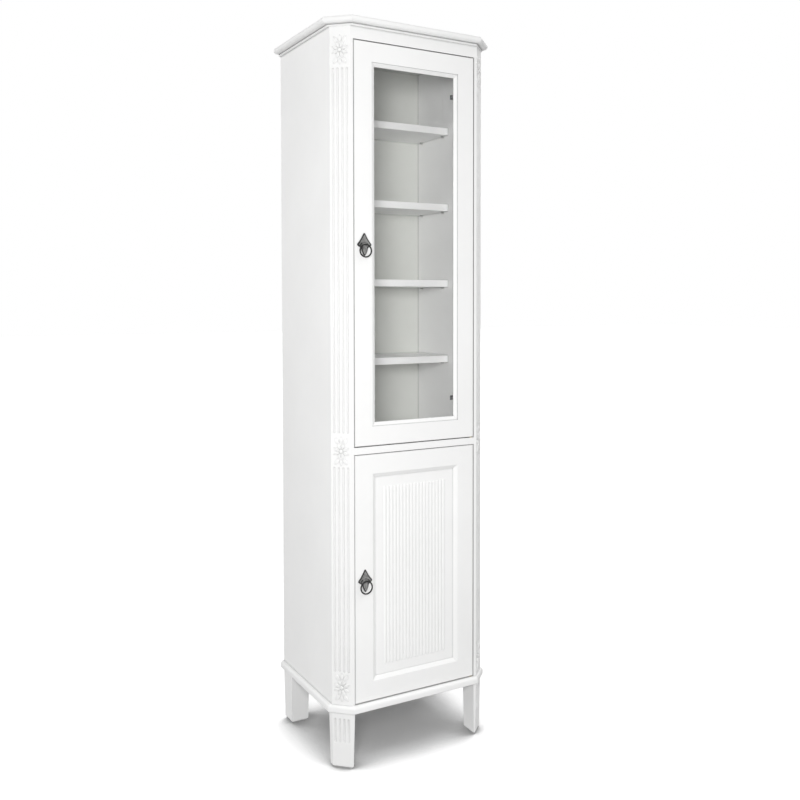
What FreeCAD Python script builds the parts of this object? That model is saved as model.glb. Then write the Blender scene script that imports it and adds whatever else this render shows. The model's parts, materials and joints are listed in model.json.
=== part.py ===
import FreeCAD, Part
import math
import os
import re
import Sketcher

# Tall cabinet in millimetres: x to its right, y to its back, z up, floor at zero.
SIZES = (
    ("carcass_width", 452),
    ("carcass_depth", 374),
    ("side_thickness", 18),
    ("board_thickness", 18),
    ("back_thickness", 6),
    ("back_setback", 11),
    ("groove_depth", 6),
    ("groove_clearance", 0.2),
    ("groove_front_gap", 0.9),
    ("groove_end_gap", 0.5),
    ("post_width", 46.5),
    ("post_chamfer", 38),
    ("foot_height", 146),
    ("foot_depth", 56),
    ("rear_foot_width", 54),
    ("foot_taper", 2.5),
    ("foot_arris_width", 6),
    ("foot_arris_height", 7),
    ("rear_foot_setback", 1),
    ("base_thickness", 20),
    ("base_overhang", 10),
    ("base_top_round", 9),
    ("base_low_round", 3),
    ("lower_opening", 640.3),
    ("upper_opening", 1025),
    ("frieze_height", 30.7),
    ("frieze_thickness", 20),
    ("bead_height", 6),
    ("bead_overhang", 6),
    ("bead_round", 2.6),
    ("top_thickness", 17),
    ("cornice_overhang", 20),
    ("top_round", 8.2),
    ("corner_trim", 4),
    ("flute_width", 6.4),
    ("flute_depth", 2.8),
    ("flute_pitch", 12.2),
    ("top_rosette_height", 102),
    ("middle_rosette_rise", 45.7),
    ("middle_rosette_drop", 39.3),
    ("low_rosette_height", 84),
    ("foot_flute_gap", 15),
    ("foot_flute_length", 63),
    ("first_bay", 193.7),
    ("shelf_pitch", 218.3),
    ("shelf_thickness", 19),
    ("shelf_depth", 174),
    ("shelf_clearance", 0.5),
    ("shelf_pin_radius", 2.5),
    ("shelf_pin_sunk", 10),
    ("shelf_pin_proud", 8),
    ("shelf_pin_inset", 25),
    ("pin_seat_clearance", 0.05),
    ("door_gap", 2),
    ("door_thickness", 22),
    ("door_arris", 1.5),
    ("glass_frame_width", 59.5),
    ("glass_quirk_width", 10),
    ("glass_quirk_depth", 1.5),
    ("glass_bevel_width", 7.5),
    ("glass_bevel_depth", 6.5),
    ("glass_lip_depth", 9),
    ("glass_rabbet_width", 8),
    ("glass_thickness", 4),
    ("glass_edge_gap", 1),
    ("clip_height", 12),
    ("clip_thickness", 4),
    ("clip_reach", 4),
    ("clip_end_distance", 49),
    ("panel_frame_width", 60),
    ("panel_bevel_width", 10),
    ("panel_bevel_depth", 6.5),
    ("panel_lip_depth", 8),
    ("panel_thickness", 7),
    ("panel_groove_depth", 8),
    ("panel_edge_gap", 1),
    ("panel_back_clearance", 0.2),
    ("reed_pitch", 9.8),
    ("reed_width", 9.2),
    ("reed_height", 1.4),
    ("reed_low_gap", 24),
    ("reed_high_gap", 26.3),
    ("pivot_inset", 6),
    ("pivot_depth", 4.5),
    ("pivot_radius", 2),
    ("pivot_running_clearance", 0.05),
    ("pivot_sunk", 12),
    ("pivot_proud", 11),
    ("bush_radius", 3.4),
    ("bush_length", 14),
    ("bush_bore_depth", 12.5),
    ("washer_radius", 4),
    ("catch_width", 16),
    ("catch_depth", 15),
    ("catch_height", 40),
    ("catch_air_gap", 0.3),
    ("catch_rise", 60),
    ("strike_width", 14),
    ("strike_height", 32),
    ("strike_thickness", 1.5),
    ("strike_edge_distance", 1.5),
    ("handle_edge_distance", 27.5),
    ("upper_eye_rise", 511.7),
    ("lower_eye_rise", 314),
    ("plate_half_width", 19.5),
    ("plate_half_height", 28.5),
    ("plate_thickness", 2),
    ("plate_relief", 1.4),
    ("ring_radius", 15.7),
    ("ring_wire_radius", 1.8),
    ("ring_standoff", 9),
    ("eye_width", 6),
    ("eye_radius", 5.2),
    ("eye_bore_radius", 2.8),
    ("shank_radius", 2.5),
    ("shank_clearance", 0.1),
    ("nut_radius", 5.5),
    ("nut_thickness", 3),
    ("foot_bolt_radius", 4),
    ("foot_bolt_in_foot", 40),
    ("foot_bolt_in_base", 13),
    ("overrun", 5),
)
FLUTE_COUNT = 4
REED_COUNT = 19
PLATE_SHARES = (
    (0.07, 1), (0.3, 0.76), (0.54, 0.47), (0.75, 0.29), (1, 0), (0.92, -0.1), (0.7, -0.18),
    (0.58, -0.29), (0.43, -0.5), (0.29, -0.7), (0.1, -0.93), (0, -1), (-0.1, -0.93), (-0.29, -0.7),
    (-0.43, -0.5), (-0.58, -0.29), (-0.7, -0.18), (-0.92, -0.1), (-1, 0), (-0.75, 0.29),
    (-0.54, 0.47), (-0.3, 0.76), (-0.07, 1),
)
RELIEF_SHARE = 0.66

doc = FreeCAD.newDocument("tall_cabinet")
sheet = doc.addObject("Spreadsheet::Sheet", "Sizes")
for row, (alias, value) in enumerate(SIZES, start=1):
    sheet.set(f"A{row}", alias)
    sheet.set(f"B{row}", str(value))
    sheet.setAlias(f"B{row}", alias)
doc.recompute()
NAMES = {alias for alias, value in SIZES}
nodes = []

# Levels and planes that several pieces share.
FRONT = "((cornice_overhang - carcass_depth) / 2)"
REAR = "((cornice_overhang + carcass_depth) / 2)"
HALF = "(carcass_width / 2)"
WALL = "(carcass_width / 2 - side_thickness)"
JAMB = "(carcass_width / 2 - post_width)"
BACK = f"({REAR} - back_setback - back_thickness)"
BASE_TOP = "(foot_height + base_thickness)"
MID_LOW = f"({BASE_TOP} + lower_opening)"
MID_TOP = f"({MID_LOW} + board_thickness)"
FRIEZE_LOW = f"({MID_TOP} + upper_opening)"
CARCASS_TOP = f"({FRIEZE_LOW} + frieze_height)"
DOOR_HALF = f"({JAMB} - door_gap)"
PIVOT_X = f"({DOOR_HALF} - pivot_inset)"
PIVOT_Y = f"({FRONT} + pivot_depth)"
HANDLE_X = f"(handle_edge_distance - {DOOR_HALF})"
UPPER_EYE = f"({MID_TOP} + door_gap + upper_eye_rise)"
LOWER_EYE = f"({BASE_TOP} + door_gap + lower_eye_rise)"
SHELF_FRONT = f"({BACK} - shelf_depth)"
DIAGONAL = "sqrt(2)"
OFFSET_SHARE = "(sqrt(2) - 1)"
LEFT = "-1"
RIGHT = "1"
SIDES = (("left", LEFT), ("right", RIGHT))
ALONG_X = FreeCAD.Rotation(FreeCAD.Vector(0, 1, 0), 90)
ALONG_Y = FreeCAD.Rotation(FreeCAD.Vector(1, 0, 0), -90)


def expression(text):
    return re.sub(r"[a-z]\w+", lambda m: f"Sizes.{m[0]}" if m[0] in NAMES else m[0], text)


def bind(item, prop, text):
    item.setExpression(prop, expression(text))


def place(item, point, rotation=None):
    if rotation:
        item.Placement = FreeCAD.Placement(FreeCAD.Vector(), rotation)
    for axis, text in zip("xyz", point):
        bind(item, f"Placement.Base.{axis}", text)
    return item


def node(item, label):
    item.Label = label
    nodes.append(item)
    return item


def box(x_low, x_high, y_low, y_high, z_low, z_high):
    item = doc.addObject("Part::Box", "block")
    for prop, low, high in (("Length", x_low, x_high), ("Width", y_low, y_high), ("Height", z_low, z_high)):
        bind(item, prop, f"{high} - ({low})")
    return place(item, (x_low, y_low, z_low))


def rod(radius, length, point, rotation=None):
    item = doc.addObject("Part::Cylinder", "rod")
    bind(item, "Radius", radius)
    bind(item, "Height", length)
    return place(item, point, rotation)


def ball(radius, point):
    item = doc.addObject("Part::Sphere", "ball")
    bind(item, "Radius", radius)
    return place(item, point)


def frustum(y_low, y_high, near, far):
    item = doc.addObject("Part::Wedge", "frustum")
    bind(item, "Ymin", y_low)
    bind(item, "Ymax", y_high)
    for prop, text in zip(("Xmin", "Xmax", "Zmin", "Zmax"), near):
        bind(item, prop, text)
    for prop, text in zip(("X2min", "X2max", "Z2min", "Z2max"), far):
        bind(item, prop, text)
    return item


def group(items):
    item = doc.addObject("Part::Compound", "group")
    item.Links = items
    return item


def fuse(items):
    item = doc.addObject("Part::MultiFuse", "joined")
    item.Shapes = items
    return item


def cut(base, tools):
    item = doc.addObject("Part::Cut", "cut")
    item.Base = base
    item.Tool = tools[0] if len(tools) == 1 else fuse(tools)
    return item


def common(first, second):
    item = doc.addObject("Part::Common", "shared")
    item.Base = first
    item.Tool = second
    return item


def polygon(body, points, lift=None, role="XY_Plane"):
    sketch = body.newObject("Sketcher::SketchObject", "outline")
    plane = next(item for item in body.Origin.OriginFeatures if item.Role == role)
    sketch.AttachmentSupport = [(plane, "")]
    sketch.MapMode = "FlatFace"
    if lift:
        bind(sketch, "AttachmentOffset.Base.z", lift)
    count = len(points)
    turns = [2 * math.pi * index / count for index in range(count)]
    start = [FreeCAD.Vector(math.cos(turn), math.sin(turn), 0) for turn in turns]
    for index in range(count):
        sketch.addGeometry(Part.LineSegment(start[index], start[(index + 1) % count]), False)
    for index in range(count):
        sketch.addConstraint(Sketcher.Constraint("Coincident", index, 2, (index + 1) % count, 1))
    for index, (across, along) in enumerate(points):
        for kind, text, first in (("DistanceX", across, start[index].x), ("DistanceY", along, start[index].y)):
            number = sketch.addConstraint(Sketcher.Constraint(kind, -1, 1, index, 1, first))
            bind(sketch, f"Constraints[{number}]", text)
    return sketch


def pad(body, sketch, length, back=False):
    doc.recompute()
    feature = body.newObject("PartDesign::Pad", "pad")
    feature.Profile = sketch
    feature.Reversed = back
    bind(feature, "Length", length)
    doc.recompute()
    return feature


def board(points, low, thickness):
    body = doc.addObject("PartDesign::Body", "board")
    pad(body, polygon(body, points, low), thickness)
    return body


def chamfered_plan(overhang):
    side = f"({HALF} + {overhang})"
    reach = f"({DIAGONAL} * ({overhang} - corner_trim) - {overhang})"
    corner_y = f"{FRONT} + post_chamfer - {reach}"
    corner_x = f"({HALF} - post_chamfer + {reach})"
    front = f"{FRONT} - {overhang}"
    return (
        (f"-{side}", REAR), (f"-{side}", corner_y), (f"-{corner_x}", front),
        (corner_x, front), (side, corner_y), (side, REAR),
    )


def notched_plan():
    seat = f"{FRONT} + post_width"
    return (
        (f"-{JAMB}", FRONT), (JAMB, FRONT), (JAMB, seat), (WALL, seat), (WALL, BACK), (f"-{WALL}", BACK),
        (f"-{WALL}", seat), (f"-{JAMB}", seat),
    )


def round_edges(body, feature, radius, level):
    back = feature.Shape.BoundBox.YMax
    names = []
    for number, edge in enumerate(feature.Shape.Edges, start=1):
        bounds = edge.BoundBox
        flat = abs(bounds.ZMax - level) < 1e-6 and bounds.ZLength < 1e-6
        if flat and edge.CenterOfMass.y < back - 1e-6:
            names.append(f"Edge{number}")
    fillet = body.newObject("PartDesign::Fillet", "rounding")
    fillet.Base = (feature, names)
    bind(fillet, "Radius", radius)
    doc.recompute()
    return fillet


def moulded_board(label, overhang, low, thickness, low_round, high_round):
    body = board(chamfered_plan(overhang), low, thickness)
    feature = body.Tip
    feature = round_edges(body, feature, high_round, feature.Shape.BoundBox.ZMax)
    round_edges(body, feature, low_round, feature.Shape.BoundBox.ZMin)
    body.Label = label
    return body


def capsule(radius, x, y, low, high, width):
    first = f"{low} + {width} / 2"
    last = f"{high} - {width} / 2"
    return [
        rod(radius, f"{last} - ({first})", (x, y, first)),
        ball(radius, (x, y, first)),
        ball(radius, (x, y, last)),
    ]


def flutes(side, low, high, recess):
    radius = "((flute_width * flute_width / 4 + flute_depth * flute_depth) / (2 * flute_depth))"
    tools = []
    for index in range(FLUTE_COUNT):
        step = f"({2 * index - FLUTE_COUNT + 1} * flute_pitch / 2)"
        out = f"({radius} - flute_depth - {recess})"
        x = f"{side} * ({HALF} - post_chamfer / 2 + ({step} + {out}) / {DIAGONAL})"
        y = f"{FRONT} + post_chamfer / 2 + ({step} - {out}) / {DIAGONAL}"
        tools += capsule(radius, x, y, low, high, "flute_width")
    return tools


# Carcass: posts, side panels and back.
for name, side in SIDES:
    plan = (
        (f"{side} * {HALF}", f"{FRONT} + post_chamfer"),
        (f"{side} * ({HALF} - post_chamfer)", FRONT),
        (f"{side} * {JAMB}", FRONT),
        (f"{side} * {JAMB}", f"{FRONT} + post_width"),
        (f"{side} * {HALF}", f"{FRONT} + post_width"),
    )
    blank = board(plan, BASE_TOP, f"{CARCASS_TOP} - {BASE_TOP}")
    middle = f"({MID_LOW} + board_thickness / 2)"
    tools = flutes(side, f"{middle} + middle_rosette_rise", f"{CARCASS_TOP} - top_rosette_height", "0")
    tools += flutes(side, f"{BASE_TOP} + low_rosette_height", f"{middle} - middle_rosette_drop", "0")
    node(cut(blank, tools), f"{name}_front_post")

SHELVES = [(f"shelf_{count}", f"({MID_TOP} + first_bay + {count - 1} * shelf_pitch)")
           for count in (1, 2, 3, 4)]
SHELVES.append(("lower_shelf", f"({BASE_TOP} + (lower_opening - shelf_thickness) / 2)"))
pins = []
for name, side in SIDES:
    outer = HALF if side == RIGHT else f"-{WALL}"
    inner = WALL if side == RIGHT else f"-{HALF}"
    panel = box(inner, outer, f"{FRONT} + post_width", REAR, BASE_TOP, CARCASS_TOP)
    deep = f"({WALL} + groove_depth)"
    groove_low = f"{WALL} - overrun" if side == RIGHT else f"-{deep}"
    groove_high = deep if side == RIGHT else f"overrun - {WALL}"
    tools = [box(
        groove_low, groove_high, f"{BACK} - groove_front_gap", f"{BACK} + back_thickness + groove_clearance",
        f"{BASE_TOP} - overrun", f"{CARCASS_TOP} + overrun",
    )]
    for label, height in SHELVES:
        for y in (f"{SHELF_FRONT} + shelf_pin_inset", f"{BACK} - shelf_pin_inset"):
            z = f"{height} - shelf_pin_radius - pin_seat_clearance"
            sunk = f"{WALL} - shelf_pin_proud" if side == RIGHT else f"-{WALL} - shelf_pin_sunk"
            bored = f"{WALL} - overrun" if side == RIGHT else f"-{WALL} - shelf_pin_sunk"
            pins.append(rod("shelf_pin_radius", "shelf_pin_sunk + shelf_pin_proud", (sunk, y, z), ALONG_X))
            tools.append(rod(
                "shelf_pin_radius + pin_seat_clearance", "shelf_pin_sunk + overrun", (bored, y, z), ALONG_X,
            ))
    node(cut(panel, tools), f"{name}_side_panel")
node(group(pins), "shelf_pins")
panel_half = f"({WALL} + groove_depth - groove_end_gap)"
node(box(f"-{panel_half}", panel_half, BACK, f"{BACK} + back_thickness", BASE_TOP, CARCASS_TOP), "back_panel")

# Boards across the carcass, with the door pivots let into three of them.
def pivot(low, high):
    return rod("pivot_radius", f"{high} - ({low})", (PIVOT_X, PIVOT_Y, low))


def pivot_hole(low, high):
    return rod("pivot_radius + pin_seat_clearance", f"{high} - ({low})", (PIVOT_X, PIVOT_Y, low))


top_pin = (f"{FRIEZE_LOW} - door_gap - pivot_proud", f"{FRIEZE_LOW} + pivot_sunk")
mid_pin = (f"{MID_LOW} - door_gap - pivot_proud", f"{MID_TOP} + door_gap + pivot_proud")
base_pin = (f"{BASE_TOP} - pivot_sunk", f"{BASE_TOP} + door_gap + pivot_proud")
node(group([pivot(low, high) for low, high in (top_pin, mid_pin, base_pin)]), "pivot_pins")

frieze = box(f"-{JAMB}", JAMB, FRONT, f"{FRONT} + frieze_thickness", FRIEZE_LOW, CARCASS_TOP)
node(cut(frieze, [pivot_hole(f"{FRIEZE_LOW} - overrun", f"{FRIEZE_LOW} + pivot_sunk")]), "frieze_rail")
middle = board(notched_plan(), MID_LOW, "board_thickness")
node(cut(middle, [pivot_hole(f"{MID_LOW} - overrun", f"{MID_TOP} + overrun")]), "mid_board")
for label, height in SHELVES:
    reach = f"({WALL} - shelf_clearance)"
    node(box(f"-{reach}", reach, SHELF_FRONT, BACK, height, f"{height} + shelf_thickness"), label)

washers = []
for level in (BASE_TOP, MID_TOP):
    disc = rod("washer_radius", "door_gap", (PIVOT_X, PIVOT_Y, level))
    washers.append(cut(disc, [rod(
        "pivot_radius + pin_seat_clearance", "door_gap + 2 * overrun", (PIVOT_X, PIVOT_Y, f"{level} - overrun"),
    )]))
node(group(washers), "thrust_washers")

# Cornice and base follow the chamfered plan; the base stands on four tapered feet.
node(moulded_board("cornice_bead", "bead_overhang", CARCASS_TOP, "bead_height", "bead_round", "bead_round"),
     "cornice_bead")
node(moulded_board("top_board", "cornice_overhang", f"{CARCASS_TOP} + bead_height", "top_thickness",
                   "top_round", "top_round"), "top_board")


def foot_plan(side, inset, rear):
    x_out = f"{side} * ({HALF} - ({inset}))"
    if rear:
        x_in = f"{side} * ({HALF} - rear_foot_width + {inset})"
        back = f"{REAR} - rear_foot_setback - ({inset})"
        front = f"{REAR} - rear_foot_setback - foot_depth + {inset}"
        return ((x_out, front), (x_in, front), (x_in, back), (x_out, back))
    x_in = f"{side} * ({JAMB} + {inset})"
    back = f"{FRONT} + foot_depth - ({inset})"
    front = f"{FRONT} + {inset}"
    corner_y = f"{FRONT} + post_chamfer + {OFFSET_SHARE} * ({inset})"
    corner_x = f"{side} * ({HALF} - post_chamfer - {OFFSET_SHARE} * ({inset}))"
    return ((x_out, corner_y), (corner_x, front), (x_in, front), (x_in, back), (x_out, back))


bolts = []
base_tools = [pivot_hole(f"{BASE_TOP} - pivot_sunk", f"{BASE_TOP} + overrun")]
for name, side in SIDES:
    for row, rear in (("front", False), ("rear", True)):
        body = doc.addObject("PartDesign::Body", "foot")
        low_inset = "foot_taper"
        end_inset = "foot_taper + foot_arris_width"
        top = polygon(body, foot_plan(side, "0", rear), "foot_height")
        low = polygon(body, foot_plan(side, low_inset, rear), "foot_arris_height")
        end = polygon(body, foot_plan(side, end_inset, rear))
        doc.recompute()
        loft = body.newObject("PartDesign::AdditiveLoft", "taper")
        loft.Profile = top
        loft.Sections = [low, end]
        loft.Ruled = True
        doc.recompute()
        x = f"{side} * ({HALF} - {'rear_foot_width' if rear else 'post_width'} / 2)"
        y = f"{REAR} - rear_foot_setback - foot_depth / 2" if rear else f"{FRONT} + foot_depth / 2"
        start = "foot_height - foot_bolt_in_foot"
        bolts.append(rod("foot_bolt_radius", "foot_bolt_in_foot + foot_bolt_in_base", (x, y, start)))
        tools = [rod("foot_bolt_radius + pin_seat_clearance", "foot_bolt_in_foot + overrun", (x, y, start))]
        base_tools.append(rod(
            "foot_bolt_radius + pin_seat_clearance", "foot_bolt_in_base + overrun", (x, y, "foot_height - overrun"),
        ))
        if not rear:
            recess = "(foot_taper * (foot_flute_gap + foot_flute_length / 2) / foot_height)"
            flute_top = "(foot_height - foot_flute_gap)"
            tools += flutes(side, f"{flute_top} - foot_flute_length", flute_top, recess)
        node(cut(body, tools), f"{row}_{name}_foot")
node(group(bolts), "foot_bolts")
base = moulded_board("base", "base_overhang", "foot_height", "base_thickness", "base_low_round", "base_top_round")
node(cut(base, base_tools), "base_board")


# Doors: one moulded frame, mitred into four members.
def inset_rectangle(low, high, inset):
    return (f"{inset} - {DOOR_HALF}", f"{DOOR_HALF} - ({inset})", f"{low} + {inset}", f"{high} - ({inset})")


def opening(low, high, inset, y_low, y_high):
    x_low, x_high, z_low, z_high = inset_rectangle(low, high, inset)
    return box(x_low, x_high, f"{FRONT} + {y_low}", f"{FRONT} + {y_high}", z_low, z_high)


def bevel(low, high, near, far, y_low, y_high):
    return frustum(f"{FRONT} + {y_low}", f"{FRONT} + {y_high}", inset_rectangle(low, high, near),
                   inset_rectangle(low, high, far))


def door_blank(low, high):
    face = bevel(low, high, "door_arris", "0", "0", "door_arris")
    return fuse([face, opening(low, high, "0", "door_arris", "door_thickness")])


def door_fittings(prefix, low, high, eye):
    bores = []
    bushes = []
    for start, mouth in ((f"{high} - bush_length", f"{high} - bush_bore_depth"), (low, f"{low} - overrun")):
        bores.append(rod("bush_radius", "bush_length", (PIVOT_X, PIVOT_Y, start)))
        bushes.append(cut(rod("bush_radius", "bush_length", (PIVOT_X, PIVOT_Y, start)), [rod(
            "pivot_radius + pivot_running_clearance", "bush_bore_depth + overrun", (PIVOT_X, PIVOT_Y, mouth),
        )]))
    node(group(bushes), f"{prefix}_door_bushes")
    strike_x = f"strike_edge_distance - {DOOR_HALF}"
    centre = f"(({low} + {high}) / 2 + catch_rise)"
    behind = f"{FRONT} + door_thickness"
    node(box(strike_x, f"{strike_x} + strike_width", behind, f"{behind} + strike_thickness",
             f"{centre} - strike_height / 2", f"{centre} + strike_height / 2"), f"{prefix}_strike_plate")
    near = f"{behind} + strike_thickness + catch_air_gap"
    catches.append(box(f"-{JAMB}", f"catch_width - {JAMB}", near, f"{near} + catch_depth",
                       f"{centre} - catch_height / 2", f"{centre} + catch_height / 2"))
    bores.append(rod("shank_radius + shank_clearance", "door_thickness + 2 * overrun",
                     (HANDLE_X, f"{FRONT} - overrun", eye), ALONG_Y))
    return bores


def mitred_frame(prefix, frame, low, high, width):
    reach = f"({width} + overrun)"
    ends = (f"{low}", f"{high}")
    turned = (f"-({FRONT} + door_thickness + overrun)", f"overrun - ({FRONT})")
    for name, turn, deep in (
        ("left_stile", FreeCAD.Rotation(FreeCAD.Vector(0, 0, 1), -90), turned),
        ("right_stile", FreeCAD.Rotation(FreeCAD.Vector(0, 0, 1), 90),
         (f"{FRONT} - overrun", f"{FRONT} + door_thickness + overrun")),
    ):
        block = frustum("0", reach, deep + ends, deep + (f"{low} + {reach}", f"{high} - {reach}"))
        x = f"-{DOOR_HALF}" if name == "left_stile" else DOOR_HALF
        place(block, (x, "0", "0"), turn)
        node(common(frame, block), f"{prefix}_door_{name}")
    ends = (f"-{DOOR_HALF}", DOOR_HALF)
    inner = (f"{reach} - {DOOR_HALF}", f"{DOOR_HALF} - {reach}")
    for name, turn, deep, z in (
        ("bottom_rail", FreeCAD.Rotation(FreeCAD.Vector(1, 0, 0), 90), turned, low),
        ("top_rail", FreeCAD.Rotation(FreeCAD.Vector(1, 0, 0), -90),
         (f"{FRONT} - overrun", f"{FRONT} + door_thickness + overrun"), high),
    ):
        block = frustum("0", reach, ends + deep, inner + deep)
        place(block, ("0", "0", z), turn)
        node(common(frame, block), f"{prefix}_door_{name}")


def handle(prefix, eye):
    body = doc.addObject("PartDesign::Body", "plate")
    body.Placement = FreeCAD.Placement(FreeCAD.Vector(), FreeCAD.Rotation(FreeCAD.Vector(1, 0, 0), 90))
    place(body, (HANDLE_X, FRONT, eye))
    outline = [(f"{x} * plate_half_width", f"{z} * plate_half_height") for x, z in PLATE_SHARES]
    relief = [(f"{RELIEF_SHARE} * {x}", f"{RELIEF_SHARE} * {z}") for x, z in outline]
    pad(body, polygon(body, outline), "plate_thickness")
    pad(body, polygon(body, relief, "plate_thickness"), "plate_relief")
    face = "(plate_thickness + plate_relief)"
    hole = rod("shank_radius + shank_clearance", f"{face} + 2 * overrun",
               (HANDLE_X, f"{FRONT} - {face} - overrun", eye), ALONG_Y)
    node(cut(body, [hole]), f"{prefix}_handle_plate")
    lug = rod("eye_radius", "eye_width", (f"{HANDLE_X} - eye_width / 2", f"{FRONT} - ring_standoff", eye), ALONG_X)
    neck = box(f"{HANDLE_X} - eye_width / 2", f"{HANDLE_X} + eye_width / 2", f"{FRONT} - ring_standoff",
               f"{FRONT} - {face}", f"{eye} - eye_radius", f"{eye} + eye_radius")
    shank = rod("shank_radius", f"{face} + door_thickness + nut_thickness",
                (HANDLE_X, f"{FRONT} - {face}", eye), ALONG_Y)
    bore = rod("eye_bore_radius", "eye_width + 2 * overrun",
               (f"{HANDLE_X} - eye_width / 2 - overrun", f"{FRONT} - ring_standoff", eye), ALONG_X)
    node(cut(fuse([lug, neck, shank]), [bore]), f"{prefix}_handle_eye")
    behind = f"{FRONT} + door_thickness"
    nut = rod("nut_radius", "nut_thickness", (HANDLE_X, behind, eye), ALONG_Y)
    hole = rod("shank_radius + pin_seat_clearance", "nut_thickness + 2 * overrun",
               (HANDLE_X, f"{behind} - overrun", eye), ALONG_Y)
    node(cut(nut, [hole]), f"{prefix}_handle_nut")
    ring = doc.addObject("Part::Torus", "ring")
    bind(ring, "Radius1", "ring_radius")
    bind(ring, "Radius2", "ring_wire_radius")
    place(ring, (HANDLE_X, f"{FRONT} - ring_standoff", f"{eye} - ring_radius"), ALONG_Y)
    node(ring, f"{prefix}_ring")


catches = []
low, high = f"({MID_TOP} + door_gap)", f"({FRIEZE_LOW} - door_gap)"
edge = "glass_frame_width"
quirk = "(glass_frame_width - glass_quirk_width)"
slope = "(glass_frame_width - glass_bevel_width)"
rabbet = "(glass_frame_width - glass_rabbet_width)"
tools = [
    opening(low, high, quirk, "(-overrun)", "glass_quirk_depth"),
    bevel(low, high, slope, edge, "glass_quirk_depth", "glass_bevel_depth"),
    opening(low, high, edge, "glass_bevel_depth", "glass_lip_depth"),
    opening(low, high, rabbet, "glass_lip_depth", "(door_thickness + overrun)"),
]
tools += door_fittings("upper", low, high, UPPER_EYE)
mitred_frame("upper", cut(door_blank(low, high), tools), low, high, edge)
node(opening(low, high, f"({rabbet} + glass_edge_gap)", "glass_lip_depth", "(glass_lip_depth + glass_thickness)"),
     "glass_pane")
clips = []
clip_y = f"{FRONT} + glass_lip_depth + glass_thickness"
for name, side in SIDES:
    outer = f"{DOOR_HALF} - {rabbet}"
    inner = f"{DOOR_HALF} - {edge} - clip_reach"
    x_low, x_high = (inner, outer) if side == RIGHT else (f"-({outer})", f"-({inner})")
    for centre in (f"({low} + {edge} + clip_end_distance)", f"({high} - {edge} - clip_end_distance)"):
        clips.append(box(x_low, x_high, clip_y, f"{clip_y} + clip_thickness",
                         f"{centre} - clip_height / 2", f"{centre} + clip_height / 2"))
node(group(clips), "glass_clips")
handle("upper", UPPER_EYE)

low, high = f"({BASE_TOP} + door_gap)", f"({MID_LOW} - door_gap)"
edge = "panel_frame_width"
slope = "(panel_frame_width - panel_bevel_width)"
groove = "(panel_frame_width - panel_groove_depth)"
tools = [
    bevel(low, high, slope, edge, "0", "panel_bevel_depth"),
    opening(low, high, edge, "panel_bevel_depth", "(door_thickness + overrun)"),
    opening(low, high, groove, "panel_lip_depth", "(panel_lip_depth + panel_thickness + panel_back_clearance)"),
]
tools += door_fittings("lower", low, high, LOWER_EYE)
mitred_frame("lower", cut(door_blank(low, high), tools), low, high, edge)
pieces = [opening(low, high, f"({groove} + panel_edge_gap)", "panel_lip_depth", "(panel_lip_depth + panel_thickness)")]
radius = "((reed_width * reed_width / 4 + reed_height * reed_height) / (2 * reed_height))"
for index in range(REED_COUNT):
    x = f"{2 * index - REED_COUNT + 1} * reed_pitch / 2"
    y = f"{FRONT} + panel_lip_depth - reed_height + {radius}"
    pieces += capsule(radius, x, y, f"{low} + {edge} + reed_low_gap", f"{high} - {edge} - reed_high_gap", "reed_width")
field = opening(low, high, f"({groove} + panel_edge_gap)", "0", "(panel_lip_depth + panel_thickness)")
node(common(fuse(pieces), field), "lower_door_panel")
handle("lower", LOWER_EYE)
node(group(catches), "magnet_catches")

doc.recompute()
for item in doc.Objects:
    faults = [state for state in item.State if state in ("Invalid", "Error")]
    if faults:
        raise RuntimeError(f"{item.Label}: {faults}")
os.makedirs("parts", exist_ok=True)
for item in nodes:
    if item.Shape.isNull() or not item.Shape.isValid() or not item.Shape.Solids:
        raise RuntimeError(f"{item.Label}: shape is not sound")
    item.Shape.exportStep(f"parts/{item.Label}.step")
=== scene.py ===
"""Tall white cabinet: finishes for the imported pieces, carved rosettes, cast handles, studio and camera."""
import json
import math

import bpy
from mathutils import Matrix, Vector


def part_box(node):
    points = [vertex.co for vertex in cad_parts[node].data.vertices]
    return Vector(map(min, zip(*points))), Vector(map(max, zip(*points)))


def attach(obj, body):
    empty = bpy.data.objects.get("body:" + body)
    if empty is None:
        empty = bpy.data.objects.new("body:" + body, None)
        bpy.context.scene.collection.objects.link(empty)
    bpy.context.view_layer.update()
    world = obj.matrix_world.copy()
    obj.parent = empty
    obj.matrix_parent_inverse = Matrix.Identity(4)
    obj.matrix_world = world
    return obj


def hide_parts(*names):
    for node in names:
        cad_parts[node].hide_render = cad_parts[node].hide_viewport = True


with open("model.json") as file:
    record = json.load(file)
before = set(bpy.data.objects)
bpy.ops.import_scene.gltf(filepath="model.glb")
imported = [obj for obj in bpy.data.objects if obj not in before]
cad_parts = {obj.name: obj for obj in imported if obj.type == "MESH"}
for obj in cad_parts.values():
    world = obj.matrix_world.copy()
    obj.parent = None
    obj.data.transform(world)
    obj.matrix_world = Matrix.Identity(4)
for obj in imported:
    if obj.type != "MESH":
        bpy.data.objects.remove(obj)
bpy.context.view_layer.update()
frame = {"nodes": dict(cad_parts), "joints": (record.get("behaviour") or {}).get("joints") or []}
nodes = frame["nodes"]
joint_places = {joint["name"]: joint["pos_m"] for joint in frame["joints"]}


# Shader building blocks.
def feed(tree, value, socket):
    """Sets a socket to a number, or links it to another node's output."""
    if isinstance(value, (int, float)):
        socket.default_value = value
    else:
        tree.links.new(value, socket)


def math_node(tree, operation, *values):
    node = tree.nodes.new("ShaderNodeMath")
    node.operation = operation
    for socket, value in zip(node.inputs, values):
        feed(tree, value, socket)
    return node.outputs[0]


def noise(tree, vector, scale, detail):
    node = tree.nodes.new("ShaderNodeTexNoise")
    node.inputs["Detail"].default_value = detail
    tree.links.new(vector, node.inputs["Vector"])
    feed(tree, scale, node.inputs["Scale"])
    return node.outputs["Fac"]


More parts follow.
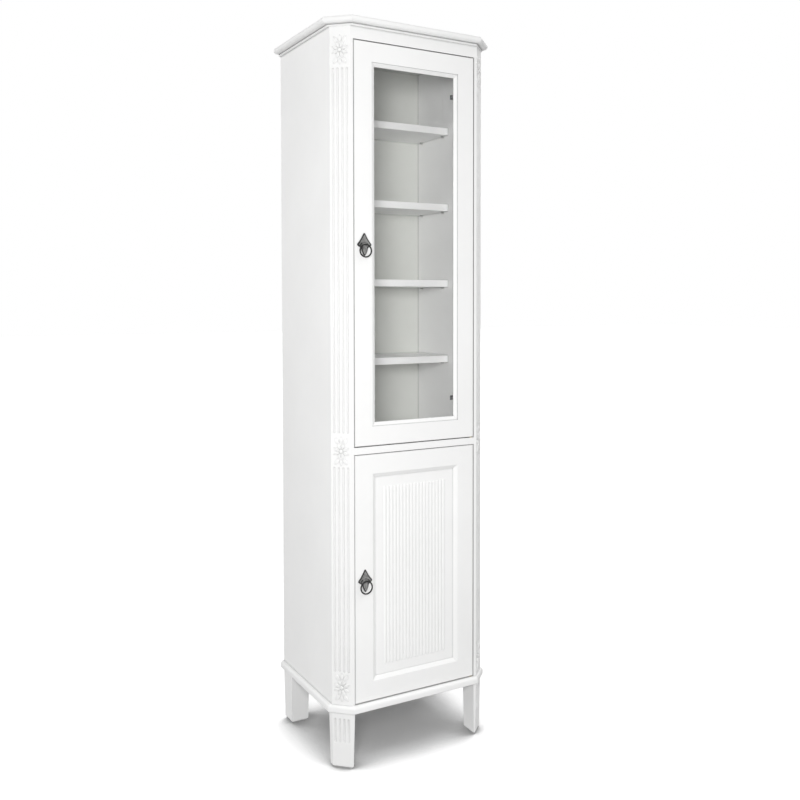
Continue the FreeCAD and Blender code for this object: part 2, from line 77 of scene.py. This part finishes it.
def range_between(tree, factor, low, high, start=0.0, end=1.0):
    """Turns a factor that runs from start to end into a value from low to high."""
    node = tree.nodes.new("ShaderNodeMapRange")
    tree.links.new(factor, node.inputs["Value"])
    for label, value in (("From Min", start), ("From Max", end), ("To Min", low), ("To Max", high)):
        feed(tree, value, node.inputs[label])
    return node.outputs["Result"]


def ramp_between(tree, factor, tones, span):
    """Runs from the darker to the paler of two tones over a span of the factor."""
    ramp = tree.nodes.new("ShaderNodeValToRGB")
    for element, position, colour in zip(ramp.color_ramp.elements, span, tones):
        element.position = position
        element.color = (*colour, 1.0)
    tree.links.new(factor, ramp.inputs["Fac"])
    return ramp.outputs["Color"]


def add_bump(tree, shader, height, strength, distance):
    bump = tree.nodes.new("ShaderNodeBump")
    bump.inputs["Strength"].default_value = strength
    bump.inputs["Distance"].default_value = distance
    tree.links.new(height, bump.inputs["Height"])
    tree.links.new(bump.outputs["Normal"], shader.inputs["Normal"])


def new_group(name, inputs, outputs):
    group = bpy.data.node_groups.new(name, "ShaderNodeTree")
    for label, kind, default in inputs:
        socket = group.interface.new_socket(label, in_out="INPUT", socket_type=kind)
        if default is not None:
            socket.default_value = default
    for label, kind in outputs:
        group.interface.new_socket(label, in_out="OUTPUT", socket_type=kind)
    return group, group.nodes.new("NodeGroupInput"), group.nodes.new("NodeGroupOutput")


# Effects shared by several finishes. Scales are repeats per metre.
PEEL_SCALE = 420.0
RUB_SCALE = 38.0
DRIFT_SCALE = 5.0
RUB_IN_TONE = 0.3
CLOUD_SCALE = 160.0
PIT_SCALE = 900.0
CLOUD_IN_HEIGHT = 0.8
# Painted shade in recesses: how far the occlusion reaches, the span it darkens over, its samples, and how
# dark a flute is painted.
RECESS_SHADE_REACH = 0.006
RECESS_SHADE_SPAN = (0.35, 0.95)
RECESS_SHADE_SAMPLES = 8
FLUTE_SHADE = 0.62


def make_lacquer_group():
    """Sprayed paint over wood: fine orange peel, a slow drift of tone and rubbed patches."""
    group, given, result = new_group(
        "lacquer_film",
        [
            ("Vector", "NodeSocketVector", None),
            ("Peel Scale", "NodeSocketFloat", PEEL_SCALE),
            ("Drift Scale", "NodeSocketFloat", DRIFT_SCALE),
        ],
        [("Height", "NodeSocketFloat"), ("Tone", "NodeSocketFloat"), ("Sheen", "NodeSocketFloat")],
    )
    place = given.outputs["Vector"]
    peel = noise(group, place, given.outputs["Peel Scale"], detail=2.0)
    drift = noise(group, place, given.outputs["Drift Scale"], detail=3.0)
    rubbed = noise(group, place, RUB_SCALE, detail=4.0)
    tone = math_node(group, "MULTIPLY_ADD", rubbed, RUB_IN_TONE, drift)
    group.links.new(peel, result.inputs["Height"])
    group.links.new(tone, result.inputs["Tone"])
    group.links.new(rubbed, result.inputs["Sheen"])
    return group


def make_patina_group():
    """Metal: cloudy tarnish and small pits."""
    group, given, result = new_group(
        "metal_patina",
        [
            ("Vector", "NodeSocketVector", None),
            ("Cloud Scale", "NodeSocketFloat", CLOUD_SCALE),
            ("Pit Scale", "NodeSocketFloat", PIT_SCALE),
        ],
        [("Cloud", "NodeSocketFloat"), ("Height", "NodeSocketFloat")],
    )
    cloud = noise(group, given.outputs["Vector"], given.outputs["Cloud Scale"], detail=5.0)
    pits = group.nodes.new("ShaderNodeTexVoronoi")
    group.links.new(given.outputs["Vector"], pits.inputs["Vector"])
    group.links.new(given.outputs["Pit Scale"], pits.inputs["Scale"])
    height = math_node(group, "MULTIPLY_ADD", cloud, CLOUD_IN_HEIGHT, pits.outputs["Distance"])
    group.links.new(cloud, result.inputs["Cloud"])
    group.links.new(height, result.inputs["Height"])
    return group


def make_recess_shade_group():
    """Painted shade in flutes, quirks and joints: a colour darkened where the surface is shut in, standing
    in for the shade that falls there.
    """
    group, given, result = new_group(
        "recess_painted_shade",
        [
            ("Color", "NodeSocketColor", None),
            ("Reach", "NodeSocketFloat", RECESS_SHADE_REACH),
            ("Shade", "NodeSocketFloat", FLUTE_SHADE),
        ],
        [("Color", "NodeSocketColor")],
    )
    recess = group.nodes.new("ShaderNodeAmbientOcclusion")
    recess.samples = RECESS_SHADE_SAMPLES
    group.links.new(given.outputs["Reach"], recess.inputs["Distance"])
    tone = range_between(group, recess.outputs["AO"], given.outputs["Shade"], 1.0, *RECESS_SHADE_SPAN)
    shaded_colour = group.nodes.new("ShaderNodeVectorMath")
    shaded_colour.operation = "SCALE"
    group.links.new(given.outputs["Color"], shaded_colour.inputs[0])
    group.links.new(tone, shaded_colour.inputs["Scale"])
    group.links.new(shaded_colour.outputs["Vector"], result.inputs["Color"])
    return group


lacquer_group = make_lacquer_group()
patina_group = make_patina_group()
recess_shade_group = make_recess_shade_group()


# Finishes.
LACQUER_SPAN = (0.4, 0.9)
LACQUER_GLOSS = 0.35
PEEL_STRENGTH = 0.06
PEEL_DEPTH = 0.0004
METAL_SPAN = (0.35, 0.68)
PATINA_DEPTH = 0.0003
GLASS_TINT = (0.95, 0.98, 0.965, 1.0)
GLASS_IOR = 1.5
GLASS_ROUGH = (0.0, 0.02)
GLASS_SMEAR_SCALE = 9.0
GLASS_EDGE_BLEND = 0.25
GLASS_ALPHA = (0.02, 0.5)
WHITE_PAINT = ((0.865, 0.865, 0.86), (0.9, 0.9, 0.895))
BLACKENED_ROUGH = (0.4, 0.6)
PLASTIC_ROUGH = (0.45, 0.6)


def blank_material(name):
    material = bpy.data.materials.new(name)
    material.use_nodes = True
    tree = material.node_tree
    shader = next(node for node in tree.nodes if node.type == "BSDF_PRINCIPLED")
    coordinates = tree.nodes.new("ShaderNodeTexCoord")
    return material, tree, shader, coordinates.outputs["Object"]


def placed_group(tree, group):
    node = tree.nodes.new("ShaderNodeGroup")
    node.node_tree = group
    return node


def lacquer(name, tones, rough=(0.46, 0.58), shade=FLUTE_SHADE):
    material, tree, shader, place = blank_material(name)
    film = placed_group(tree, lacquer_group)
    tree.links.new(place, film.inputs["Vector"])
    # Painted shade: the clean colour is darkened where the surface is shut in.
    shade_layer = placed_group(tree, recess_shade_group)
    shade_layer.inputs["Shade"].default_value = shade
    clean = ramp_between(tree, film.outputs["Tone"], tones, LACQUER_SPAN)
    tree.links.new(clean, shade_layer.inputs["Color"])
    tree.links.new(shade_layer.outputs["Color"], shader.inputs["Base Color"])
    roughness = range_between(tree, film.outputs["Sheen"], *rough)
    tree.links.new(roughness, shader.inputs["Roughness"])
    shader.inputs["Specular IOR Level"].default_value = LACQUER_GLOSS
    add_bump(tree, shader, film.outputs["Height"], PEEL_STRENGTH, PEEL_DEPTH)
    return material


def metal(name, tones, rough, metallic=1.0, bump=0.25, gloss=0.5):
    """Tarnished metal or, with metallic at zero, black paint or moulded plastic."""
    material, tree, shader, place = blank_material(name)
    patina = placed_group(tree, patina_group)
    tree.links.new(place, patina.inputs["Vector"])
    colour = ramp_between(tree, patina.outputs["Cloud"], tones, METAL_SPAN)
    tree.links.new(colour, shader.inputs["Base Color"])
    roughness = range_between(tree, patina.outputs["Cloud"], *rough)
    tree.links.new(roughness, shader.inputs["Roughness"])
    shader.inputs["Metallic"].default_value = metallic
    shader.inputs["Specular IOR Level"].default_value = gloss
    add_bump(tree, shader, patina.outputs["Height"], bump, PATINA_DEPTH)
    return material


def pane_glass(name):
    """Clear window glass with faint smears, more solid where it is seen at a slant."""
    material, tree, shader, place = blank_material(name)
    shader.inputs["Base Color"].default_value = GLASS_TINT
    shader.inputs["Transmission Weight"].default_value = 1.0
    shader.inputs["IOR"].default_value = GLASS_IOR
    smears = noise(tree, place, GLASS_SMEAR_SCALE, detail=2.0)
    tree.links.new(range_between(tree, smears, *GLASS_ROUGH), shader.inputs["Roughness"])
    edge = tree.nodes.new("ShaderNodeLayerWeight")
    edge.inputs["Blend"].default_value = GLASS_EDGE_BLEND
    alpha = range_between(tree, edge.outputs["Fresnel"], *GLASS_ALPHA)
    tree.links.new(alpha, shader.inputs["Alpha"])
    return material


white = lacquer("white_lacquer", WHITE_PAINT)
# The upper door frames around the glass get deeper painted shade in their mouldings, so the quirk lines read
# dark.
white_frame = lacquer("white_lacquer_frame", WHITE_PAINT, shade=0.28)
# The shelves: a paler copy of the white lacquer, painted light that brightens their front edges inside the
# cabinet.
white_melamine = lacquer(
    "white_melamine", ((0.95, 0.95, 0.945), (0.975, 0.975, 0.97)), rough=(0.4, 0.5), shade=0.75)
# The back panel: a darker grey-green copy of the white lacquer, painted shade for the dim inside of the
# cabinet.
white_inside_painted_shade = lacquer(
    "white_lacquer_inside_painted_shade", ((0.68, 0.69, 0.657), (0.72, 0.73, 0.7)), rough=(0.45, 0.6), shade=0.72)
pewter = metal("worn_pewter", ((0.13, 0.13, 0.128), (0.29, 0.29, 0.285)), rough=(0.38, 0.55))
black_rim = metal("blackened_rim", ((0.016, 0.016, 0.017), (0.05, 0.05, 0.05)), BLACKENED_ROUGH)
black_ring = metal(
    "blackened_ring", ((0.006, 0.006, 0.0065), (0.02, 0.02, 0.02)), BLACKENED_ROUGH, metallic=0.0, gloss=0.3)
steel = metal("zinc_plated_steel", ((0.5, 0.5, 0.5), (0.66, 0.66, 0.65)), rough=(0.28, 0.42), bump=0.1)
brass = metal("dull_brass", ((0.4, 0.34, 0.22), (0.55, 0.48, 0.33)), rough=(0.35, 0.5), bump=0.1)
catch_plastic = metal(
    "catch_plastic", ((0.74, 0.74, 0.73), (0.8, 0.8, 0.79)), PLASTIC_ROUGH, metallic=0.0, bump=0.1)
clip_plastic = metal(
    "clip_plastic", ((0.1, 0.1, 0.1), (0.16, 0.16, 0.16)), PLASTIC_ROUGH, metallic=0.0, bump=0.1)
clear_glass = pane_glass("clear_glass")


def finish_for(name):
    if name == "glass_pane":
        return clear_glass
    if name in ("pivot_pins", "shelf_pins", "foot_bolts") or "strike" in name:
        return steel
    if "bushes" in name or name == "thrust_washers":
        return brass
    if name.endswith("_ring"):
        return black_ring
    if "handle" in name:
        return pewter
    if name == "magnet_catches":
        return catch_plastic
    if name == "glass_clips":
        return clip_plastic
    if "shelf" in name:
        return white_melamine
    if name.startswith("upper_door_"):
        return white_frame
    return white_inside_painted_shade if name == "back_panel" else white


for name, node in nodes.items():
    node.data.materials.clear()
    node.data.materials.append(finish_for(name))


# Modelling steps.
ORIGIN = (0.0, 0.0, 0.0)
ACROSS = (1.0, 0.0, 0.0)
UP = (0.0, 0.0, 1.0)
QUARTER_TURN = math.pi / 2


def clear_selection():
    for item in list(bpy.context.selected_objects):
        item.select_set(False)


def select_only(piece):
    clear_selection()
    piece.select_set(True)
    bpy.context.view_layer.objects.active = piece


def begin(name, finish):
    piece = bpy.context.object
    piece.name = name
    piece.data.name = name
    piece.data.materials.append(finish)
    return piece


def pick(piece, test):
    """Edit mode with the vertices chosen by where they lie."""
    bpy.ops.object.mode_set(mode="EDIT")
    bpy.ops.mesh.select_mode(type="VERT")
    bpy.ops.mesh.select_all(action="DESELECT")
    bpy.ops.object.mode_set(mode="OBJECT")
    for vertex in piece.data.vertices:
        vertex.select = test(vertex.co)
    bpy.ops.object.mode_set(mode="EDIT")


def edit_all():
    bpy.ops.object.mode_set(mode="EDIT")
    bpy.ops.mesh.select_mode(type="VERT")
    bpy.ops.mesh.select_all(action="SELECT")


def leave():
    bpy.ops.object.mode_set(mode="OBJECT")


def settle(piece, matrix):
    """Moves a piece to its place and leaves the object itself at the origin."""
    select_only(piece)
    piece.matrix_world = matrix
    bpy.ops.object.transform_apply(location=True, rotation=True, scale=True)
    return piece


def copy_of(piece, name):
    twin = piece.copy()
    twin.data = piece.data.copy()
    twin.name = name
    twin.data.name = name
    bpy.context.scene.collection.objects.link(twin)
    return twin


def join(pieces):
    select_only(pieces[0])
    for piece in pieces[1:]:
        piece.select_set(True)
    bpy.ops.object.join()
    return pieces[0]


def soften(piece, degrees):
    select_only(piece)
    bpy.ops.object.shade_smooth_by_angle(angle=math.radians(degrees))


def place_on(origin, across, up):
    """Frame with x across, y up and z out of a face."""
    across, up = Vector(across).normalized(), Vector(up).normalized()
    out = across.cross(up)
    return Matrix((
        (across.x, up.x, out.x, origin[0]),
        (across.y, up.y, out.y, origin[1]),
        (across.z, up.z, out.z, origin[2]),
        (0.0, 0.0, 0.0, 1.0),
    ))


def keep_upper_half():
    """Cuts the edited piece off flat at its base plane."""
    bpy.ops.mesh.select_all(action="SELECT")
    bpy.ops.mesh.bisect(plane_co=ORIGIN, plane_no=(0.0, 0.0, -1.0), use_fill=True, clear_outer=True)
    bpy.ops.mesh.select_all(action="SELECT")


# Rosettes: one flower with sprays of leaves, carved in low relief, and copied to three levels of each post.
PETAL = {"length": 0.0185, "width": 0.0086, "height": 0.0031, "point": 0.6, "fold": 0.0011}
SPRAY_LEAF = {"length": 0.0195, "width": 0.0105, "height": 0.0027, "point": 0.35, "fold": 0.001}
LEAF_TAPER = ((0.25, 0.85), (0.55, 0.75))
TIP_START = 0.85
TAPER_FLATTENS = 0.92
FOLD_LENGTH = 0.92
FOLD_WIDTH = 0.1
FOLD_FROM = 0.3
PETAL_COUNT = 8
PETAL_START = 0.004
FLOWER_STRETCH = 1.1
BUTTON_RADIUS = 0.0052
BUTTON_HEIGHT = 0.0043
DIMPLE_FROM = 0.9
DIMPLE_DEPTH = 0.18
ROSETTE_SMOOTH = 50.0
POST_CHAMFER = 0.038
ROSETTE_LEVELS = (("top", 1.8215), ("middle", 0.816), ("low", 0.211))
# Each leaf of the sprays: where it starts, which way it points in degrees, and its size.
SPRAYS = (
    (0.0, 0.0195, 90.0, 0.95),
    (0.0065, 0.0175, 58.0, 1.0),
    (-0.0065, 0.0175, 122.0, 1.0),
    (0.0, -0.0205, -90.0, 0.85),
    (0.006, -0.0185, -55.0, 1.0),
    (-0.006, -0.0185, -125.0, 1.0),
)


def carved_leaf(name, length, width, height, point, fold):
    """A leaf lying along x from the origin: pointed at its far end, folded along the middle."""
    half = length / 2
    clear_selection()
    bpy.ops.mesh.primitive_uv_sphere_add(segments=16, ring_count=10, radius=1.0)
    leaf = begin(name, white)
    edit_all()
    bpy.ops.transform.rotate(value=QUARTER_TURN, orient_axis="Y", center_override=ORIGIN)
    bpy.ops.transform.resize(value=(half, width / 2, height), center_override=ORIGIN)
    for start, narrow in (*LEAF_TAPER, (TIP_START, point)):
        pick(leaf, lambda co, start=start: co.x > start * half)
        bpy.ops.transform.resize(value=(1.0, narrow, TAPER_FLATTENS), center_override=ORIGIN)
    in_fold = (length * FOLD_LENGTH / 2, width * FOLD_WIDTH / 2, height * FOLD_FROM)
    pick(leaf, lambda co: abs(co.x) < in_fold[0] and abs(co.y) < in_fold[1] and co.z > in_fold[2])
    bpy.ops.transform.translate(value=(0.0, 0.0, -fold))
    keep_upper_half()
    bpy.ops.transform.translate(value=(half, 0.0, 0.0))
    leave()
    return leaf


def carved_button(name):
    """The dimpled middle of the flower."""
    clear_selection()
    bpy.ops.mesh.primitive_uv_sphere_add(segments=24, ring_count=12, radius=BUTTON_RADIUS)
    button = begin(name, white)
    edit_all()
    keep_upper_half()
    bpy.ops.transform.resize(value=(1.0, 1.0, BUTTON_HEIGHT / BUTTON_RADIUS), center_override=ORIGIN)
    pick(button, lambda co: co.z > BUTTON_HEIGHT * DIMPLE_FROM)
    bpy.ops.transform.translate(value=(0.0, 0.0, -BUTTON_HEIGHT * DIMPLE_DEPTH))
    leave()
    return button


def carved_rosette():
    """One flower with a spray of leaves above and below, lying in the xy plane."""
    petal = carved_leaf("petal", **PETAL)
    leaf = carved_leaf("spray_leaf", **SPRAY_LEAF)
    parts = [carved_button("flower_button")]
    stretch = Matrix.Diagonal((1.0, FLOWER_STRETCH, 1.0, 1.0))
    outwards = Matrix.Translation((PETAL_START, 0.0, 0.0))
    for count in range(PETAL_COUNT):
        turn = Matrix.Rotation(math.tau * (count + 0.5) / PETAL_COUNT, 4, "Z")
        parts.append(settle(copy_of(petal, f"petal_{count}"), stretch @ turn @ outwards))
    for count, (x, y, degrees, size) in enumerate(SPRAYS):
        move = Matrix.Translation((x, y, 0.0)) @ Matrix.Rotation(math.radians(degrees), 4, "Z")
        shrink = Matrix.Diagonal((size, size, 1.0, 1.0))
        parts.append(settle(copy_of(leaf, f"spray_{count}"), move @ shrink))
    for spare in (petal, leaf):
        bpy.data.objects.remove(spare)
    rosette = join(parts)
    soften(rosette, ROSETTE_SMOOTH)
    return rosette


rosette = carved_rosette()
for side, sign in (("left", -1.0), ("right", 1.0)):
    post_low, post_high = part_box(f"{side}_front_post")
    outer_side = max(abs(post_low.x), abs(post_high.x))
    chamfer_x = sign * (outer_side - POST_CHAMFER / 2)
    chamfer_y = post_low.y + POST_CHAMFER / 2
    for level, height in ROSETTE_LEVELS:
        twin = copy_of(rosette, f"{side}_{level}_rosette")
        settle(twin, place_on((chamfer_x, chamfer_y, height), (1.0, sign, 0.0), UP))
        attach(twin, "carcass")
bpy.data.objects.remove(rosette)


# Handles: a spear plate with a leaf on its lower half, and a barrel that the ring turns in.
# Right halves of the two outlines, from the top down.
SPEAR = (
    (0.0012, 0.0285), (0.0026, 0.0262), (0.0048, 0.0222), (0.0086, 0.0152), (0.0138, 0.0076),
    (0.0192, 0.001), (0.0194, -0.0012), (0.0166, -0.0042), (0.0126, -0.0062), (0.01, -0.009),
    (0.0074, -0.0135), (0.0054, -0.0195), (0.0022, -0.026), (0.0, -0.0285),
)
TONGUE = (
    (0.0, 0.002), (0.0036, 0.0008), (0.0066, -0.0036), (0.008, -0.0092), (0.0074, -0.0146),
    (0.0052, -0.0202), (0.0026, -0.025), (0.0, -0.0284),
)
SPEAR_PLATE = {"thickness": 0.0016, "rim": 0.0026, "crown": 0.0011}
TONGUE_PLATE = {"thickness": 0.0012, "rim": 0.0018, "crown": 0.0009}
TONGUE_OUT = 0.0026
RIM_RISE = 0.0005
RIM_FALL = 0.0003
ARCH_RADIUS = 0.0135
ARCH_WIRE_RADIUS = 0.0011
ARCH_CUT = 0.0045
ARCH_PLACE = (0.0, -0.0085, 0.0022)
BARREL_RADIUS = 0.0062
BARREL_LENGTH = 0.015
BARREL_WALL = 0.0018
BARREL_ROUND = 0.0009
NECK_SIZE = (0.011, 0.0085, 0.0026)
NECK_OUT = 0.0032
NECK_FLARE = 1.3
NECK_ROUND = 0.0006
TOUCHING = 0.0001
SAME_PLACE = 1e-6
PLATE_SMOOTH = 35.0
BARREL_SMOOTH = 40.0
BLANK_RADIUS = 0.05


def handle_seat(door):
    """The point on a door's face behind its ring's pivot, and how far out the pivot is."""
    x, pivot_y, z = joint_places[f"{door}_ring_pivot"]
    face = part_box(f"{door}_door_left_stile")[0].y
    return (x, face, z), face - pivot_y


def outline_face(name, points, finish):
    """A flat face shaped corner by corner from a disc."""
    clear_selection()
    bpy.ops.mesh.primitive_circle_add(vertices=len(points), radius=BLANK_RADIUS, fill_type="NGON")
    piece = begin(name, finish)
    starts = [vertex.co.copy() for vertex in piece.data.vertices]
    starts.sort(key=lambda start: -math.atan2(start.x, -start.y))
    for start, (x, y) in zip(starts, points):
        pick(piece, lambda co, start=start: (co - start).length < SAME_PLACE)
        bpy.ops.transform.translate(value=(x - start.x, y - start.y, 0.0))
    leave()
    return piece


def mirrored(points):
    """A closed outline from its right half, clockwise from the top."""
    start = 1 if points[0][0] == 0.0 else 0
    return list(points) + [(-x, y) for x, y in reversed(points[start:-1])]


def rimmed_plate(name, points, thickness, rim, crown):
    """A cast plate with a dark rim round a paler, crowned face."""
    plate = outline_face(name, mirrored(points), black_rim)
    plate.data.materials.append(pewter)
    edit_all()
    bpy.ops.mesh.extrude_region_move(TRANSFORM_OT_translate={"value": (0.0, 0.0, thickness)})
    bpy.ops.mesh.inset(thickness=rim / 2, depth=RIM_RISE)
    bpy.ops.mesh.inset(thickness=rim / 2, depth=-RIM_FALL)
    plate.active_material_index = 1
    bpy.ops.object.material_slot_assign()
    bpy.ops.mesh.poke(offset=crown)
    leave()
    return plate


def arched_ridge(name):
    """A low arch across the plate over the barrel."""
    clear_selection()
    bpy.ops.mesh.primitive_torus_add(
        major_radius=ARCH_RADIUS, minor_radius=ARCH_WIRE_RADIUS, major_segments=48, minor_segments=10)
    ridge = begin(name, black_rim)
    edit_all()
    bpy.ops.mesh.bisect(
        plane_co=(0.0, ARCH_CUT, 0.0), plane_no=(0.0, -1.0, 0.0), use_fill=True, clear_outer=True)
    bpy.ops.mesh.select_all(action="SELECT")
    bpy.ops.transform.translate(value=ARCH_PLACE)
    leave()
    return ridge


def open_barrel(name, out):
    """A short tube across the plate, open at both ends, with rounded rims."""
    mid_wall = BARREL_RADIUS - BARREL_WALL / 2
    clear_selection()
    bpy.ops.mesh.primitive_cylinder_add(
        vertices=32, radius=BARREL_RADIUS, depth=BARREL_LENGTH, end_fill_type="NGON")
    barrel = begin(name, pewter)
    edit_all()
    bpy.ops.transform.rotate(value=QUARTER_TURN, orient_axis="Y", center_override=ORIGIN)
    pick(barrel, lambda co: abs(co.x) > BARREL_LENGTH / 2 - TOUCHING)
    bpy.ops.mesh.inset(thickness=BARREL_WALL, depth=0.0)
    bpy.ops.mesh.delete(type="FACE")
    pick(barrel, lambda co: math.hypot(co.y, co.z) < mid_wall)
    bpy.ops.mesh.bridge_edge_loops()
    pick(barrel, lambda co: math.hypot(co.y, co.z) > mid_wall)
    bpy.ops.mesh.bevel(offset=BARREL_ROUND, segments=3, affect="EDGES")
    bpy.ops.mesh.select_all(action="SELECT")
    bpy.ops.transform.translate(value=(0.0, 0.0, out))
    leave()
    return barrel


def flared_neck(name):
    """The foot of the barrel, wider where it meets the plate."""
    clear_selection()
    bpy.ops.mesh.primitive_cube_add(size=1.0)
    neck = begin(name, pewter)
    edit_all()
    bpy.ops.transform.resize(value=NECK_SIZE, center_override=ORIGIN)
    bpy.ops.transform.translate(value=(0.0, 0.0, NECK_OUT))
    pick(neck, lambda co: co.z < NECK_OUT)
    bpy.ops.transform.resize(value=(NECK_FLARE, NECK_FLARE, 1.0), center_override=ORIGIN)
    edit_all()
    bpy.ops.mesh.bevel(offset=NECK_ROUND, segments=2, affect="EDGES")
    leave()
    return neck


def ring_barrel(name, out):
    barrel = join([open_barrel(name, out), flared_neck(name + "_neck")])
    soften(barrel, BARREL_SMOOTH)
    return barrel


def spear_and_tongue(name):
    """The back plate, the arch on it and the leaf that stands proud of it inside the ring."""
    spear = rimmed_plate(name, SPEAR, **SPEAR_PLATE)
    tongue = rimmed_plate(name + "_tongue", TONGUE, **TONGUE_PLATE)
    settle(tongue, Matrix.Translation((0.0, 0.0, TONGUE_OUT)))
    plate = join([spear, arched_ridge(name + "_arch"), tongue])
    soften(plate, PLATE_SMOOTH)
    return plate


plate = spear_and_tongue("spear_plate")
barrel = ring_barrel("ring_barrel", handle_seat("upper")[1])
for door in ("upper", "lower"):
    seat = place_on(handle_seat(door)[0], ACROSS, UP)
    for source, name, stands_for in (
        (plate, f"{door}_spear_plate", f"{door}_handle_plate"),
        (barrel, f"{door}_ring_barrel", f"{door}_handle_eye"),
    ):
        twin = settle(copy_of(source, name), seat)
        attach(twin, f"{door}_door")
        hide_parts(stands_for)
for spare in (plate, barrel):
    bpy.data.objects.remove(spare)


# Floor and backdrop: white to the eye, with the shade of the cabinet kept where the floor is shut in.
FLOOR_SIZE = 60.0
FLOOR_GREY = (0.46, 0.46, 0.46, 1.0)
FLOOR_ROUGH = 0.9
WHITE_LIGHT = (1.0, 1.0, 1.0, 1.0)
SHADE_REACH = 0.25
SHADE_SPAN = (0.48, 0.78)
GLOW = (0.84, 0.95)
GLOW_SPAN = (0.6, 3.0)
AMBIENT = 0.345


def seen_backdrop(tree):
    """One for rays that look at the backdrop, straight, in metal or through glass."""
    path = tree.nodes.new("ShaderNodeLightPath")
    indirect = math_node(tree, "MAXIMUM", path.outputs["Is Glossy Ray"], path.outputs["Is Transmission Ray"])
    return math_node(tree, "MAXIMUM", path.outputs["Is Camera Ray"], indirect)


def pale_floor(name):
    material, tree, shader, place = blank_material(name)
    shader.inputs["Base Color"].default_value = FLOOR_GREY
    shader.inputs["Roughness"].default_value = FLOOR_ROUGH
    shader.inputs["Specular IOR Level"].default_value = 0.0
    shader.inputs["Emission Color"].default_value = WHITE_LIGHT
    nearness = tree.nodes.new("ShaderNodeAmbientOcclusion")
    nearness.inputs["Distance"].default_value = SHADE_REACH
    away = tree.nodes.new("ShaderNodeVectorMath")
    away.operation = "LENGTH"
    tree.links.new(place, away.inputs[0])
    sweep = range_between(tree, away.outputs["Value"], *GLOW, *GLOW_SPAN)
    clear = range_between(tree, nearness.outputs["AO"], 0.0, 1.0, *SHADE_SPAN)
    glow = math_node(tree, "MULTIPLY", sweep, clear)
    seen_glow = math_node(tree, "MULTIPLY", glow, seen_backdrop(tree))
    tree.links.new(seen_glow, shader.inputs["Emission Strength"])
    return material


clear_selection()
bpy.ops.mesh.primitive_plane_add(size=FLOOR_SIZE)
floor = begin("studio_floor", pale_floor("pale_floor"))

world = bpy.data.worlds.new("studio")
bpy.context.scene.world = world
world.use_nodes = True
background = next(node for node in world.node_tree.nodes if node.type == "BACKGROUND")
lit = range_between(world.node_tree, seen_backdrop(world.node_tree), AMBIENT, 1.0)
world.node_tree.links.new(lit, background.inputs["Strength"])
background.inputs["Color"].default_value = WHITE_LIGHT


# Light.
def hang_lamp(name, lamp, towards):
    """Links a lamp that shines from the direction it is given."""
    item = bpy.data.objects.new(name, lamp)
    bpy.context.scene.collection.objects.link(item)
    item.rotation_euler = Vector(towards).to_track_quat("Z", "Y").to_euler()
    return item


def sun(name, towards, strength, spread):
    lamp = bpy.data.lights.new(name, "SUN")
    lamp.energy = strength
    lamp.angle = math.radians(spread)
    hang_lamp(name, lamp, towards)


def softbox(name, position, aim, watts, across):
    lamp = bpy.data.lights.new(name, "AREA")
    lamp.shape = "DISK"
    lamp.size = across
    lamp.energy = watts
    item = hang_lamp(name, lamp, Vector(position) - Vector(aim))
    item.location = position
    item.visible_camera = False


softbox("camera_side_softbox", position=(-1.35, -2.28, 1.4), aim=(0.0, 0.0, 1.0), watts=44.0, across=0.7)
sun("overhead_softbox", towards=(0.45, -0.6, 0.8), strength=0.72, spread=50.0)
sun("left_wall_bounce", towards=(-0.8, 0.7, 0.05), strength=1.55, spread=60.0)
sun("rear_right_fill", towards=(0.7, 0.6, 0.4), strength=0.5, spread=45.0)


# Camera, fitted to the cabinet's edges in the photo.
CAMERA_PLACE = (-1.17485, -2.27311, 1.19803)
CAMERA_DIP = 0.0323
CAMERA_TURN = -0.5382
CAMERA_LENS = 41.382
CAMERA_SENSOR = 36.0
CAMERA_SHIFT = (-0.0516, -0.0878)

view = bpy.data.cameras.new("photo_view")
camera = bpy.data.objects.new("photo_view", view)
bpy.context.scene.collection.objects.link(camera)
camera.location = CAMERA_PLACE
camera.rotation_euler = (QUARTER_TURN - CAMERA_DIP, 0.0, CAMERA_TURN)
view.sensor_width = CAMERA_SENSOR
view.lens = CAMERA_LENS
view.shift_x, view.shift_y = CAMERA_SHIFT
bpy.context.scene.camera = camera
bpy.context.scene.view_settings.view_transform = "Standard"
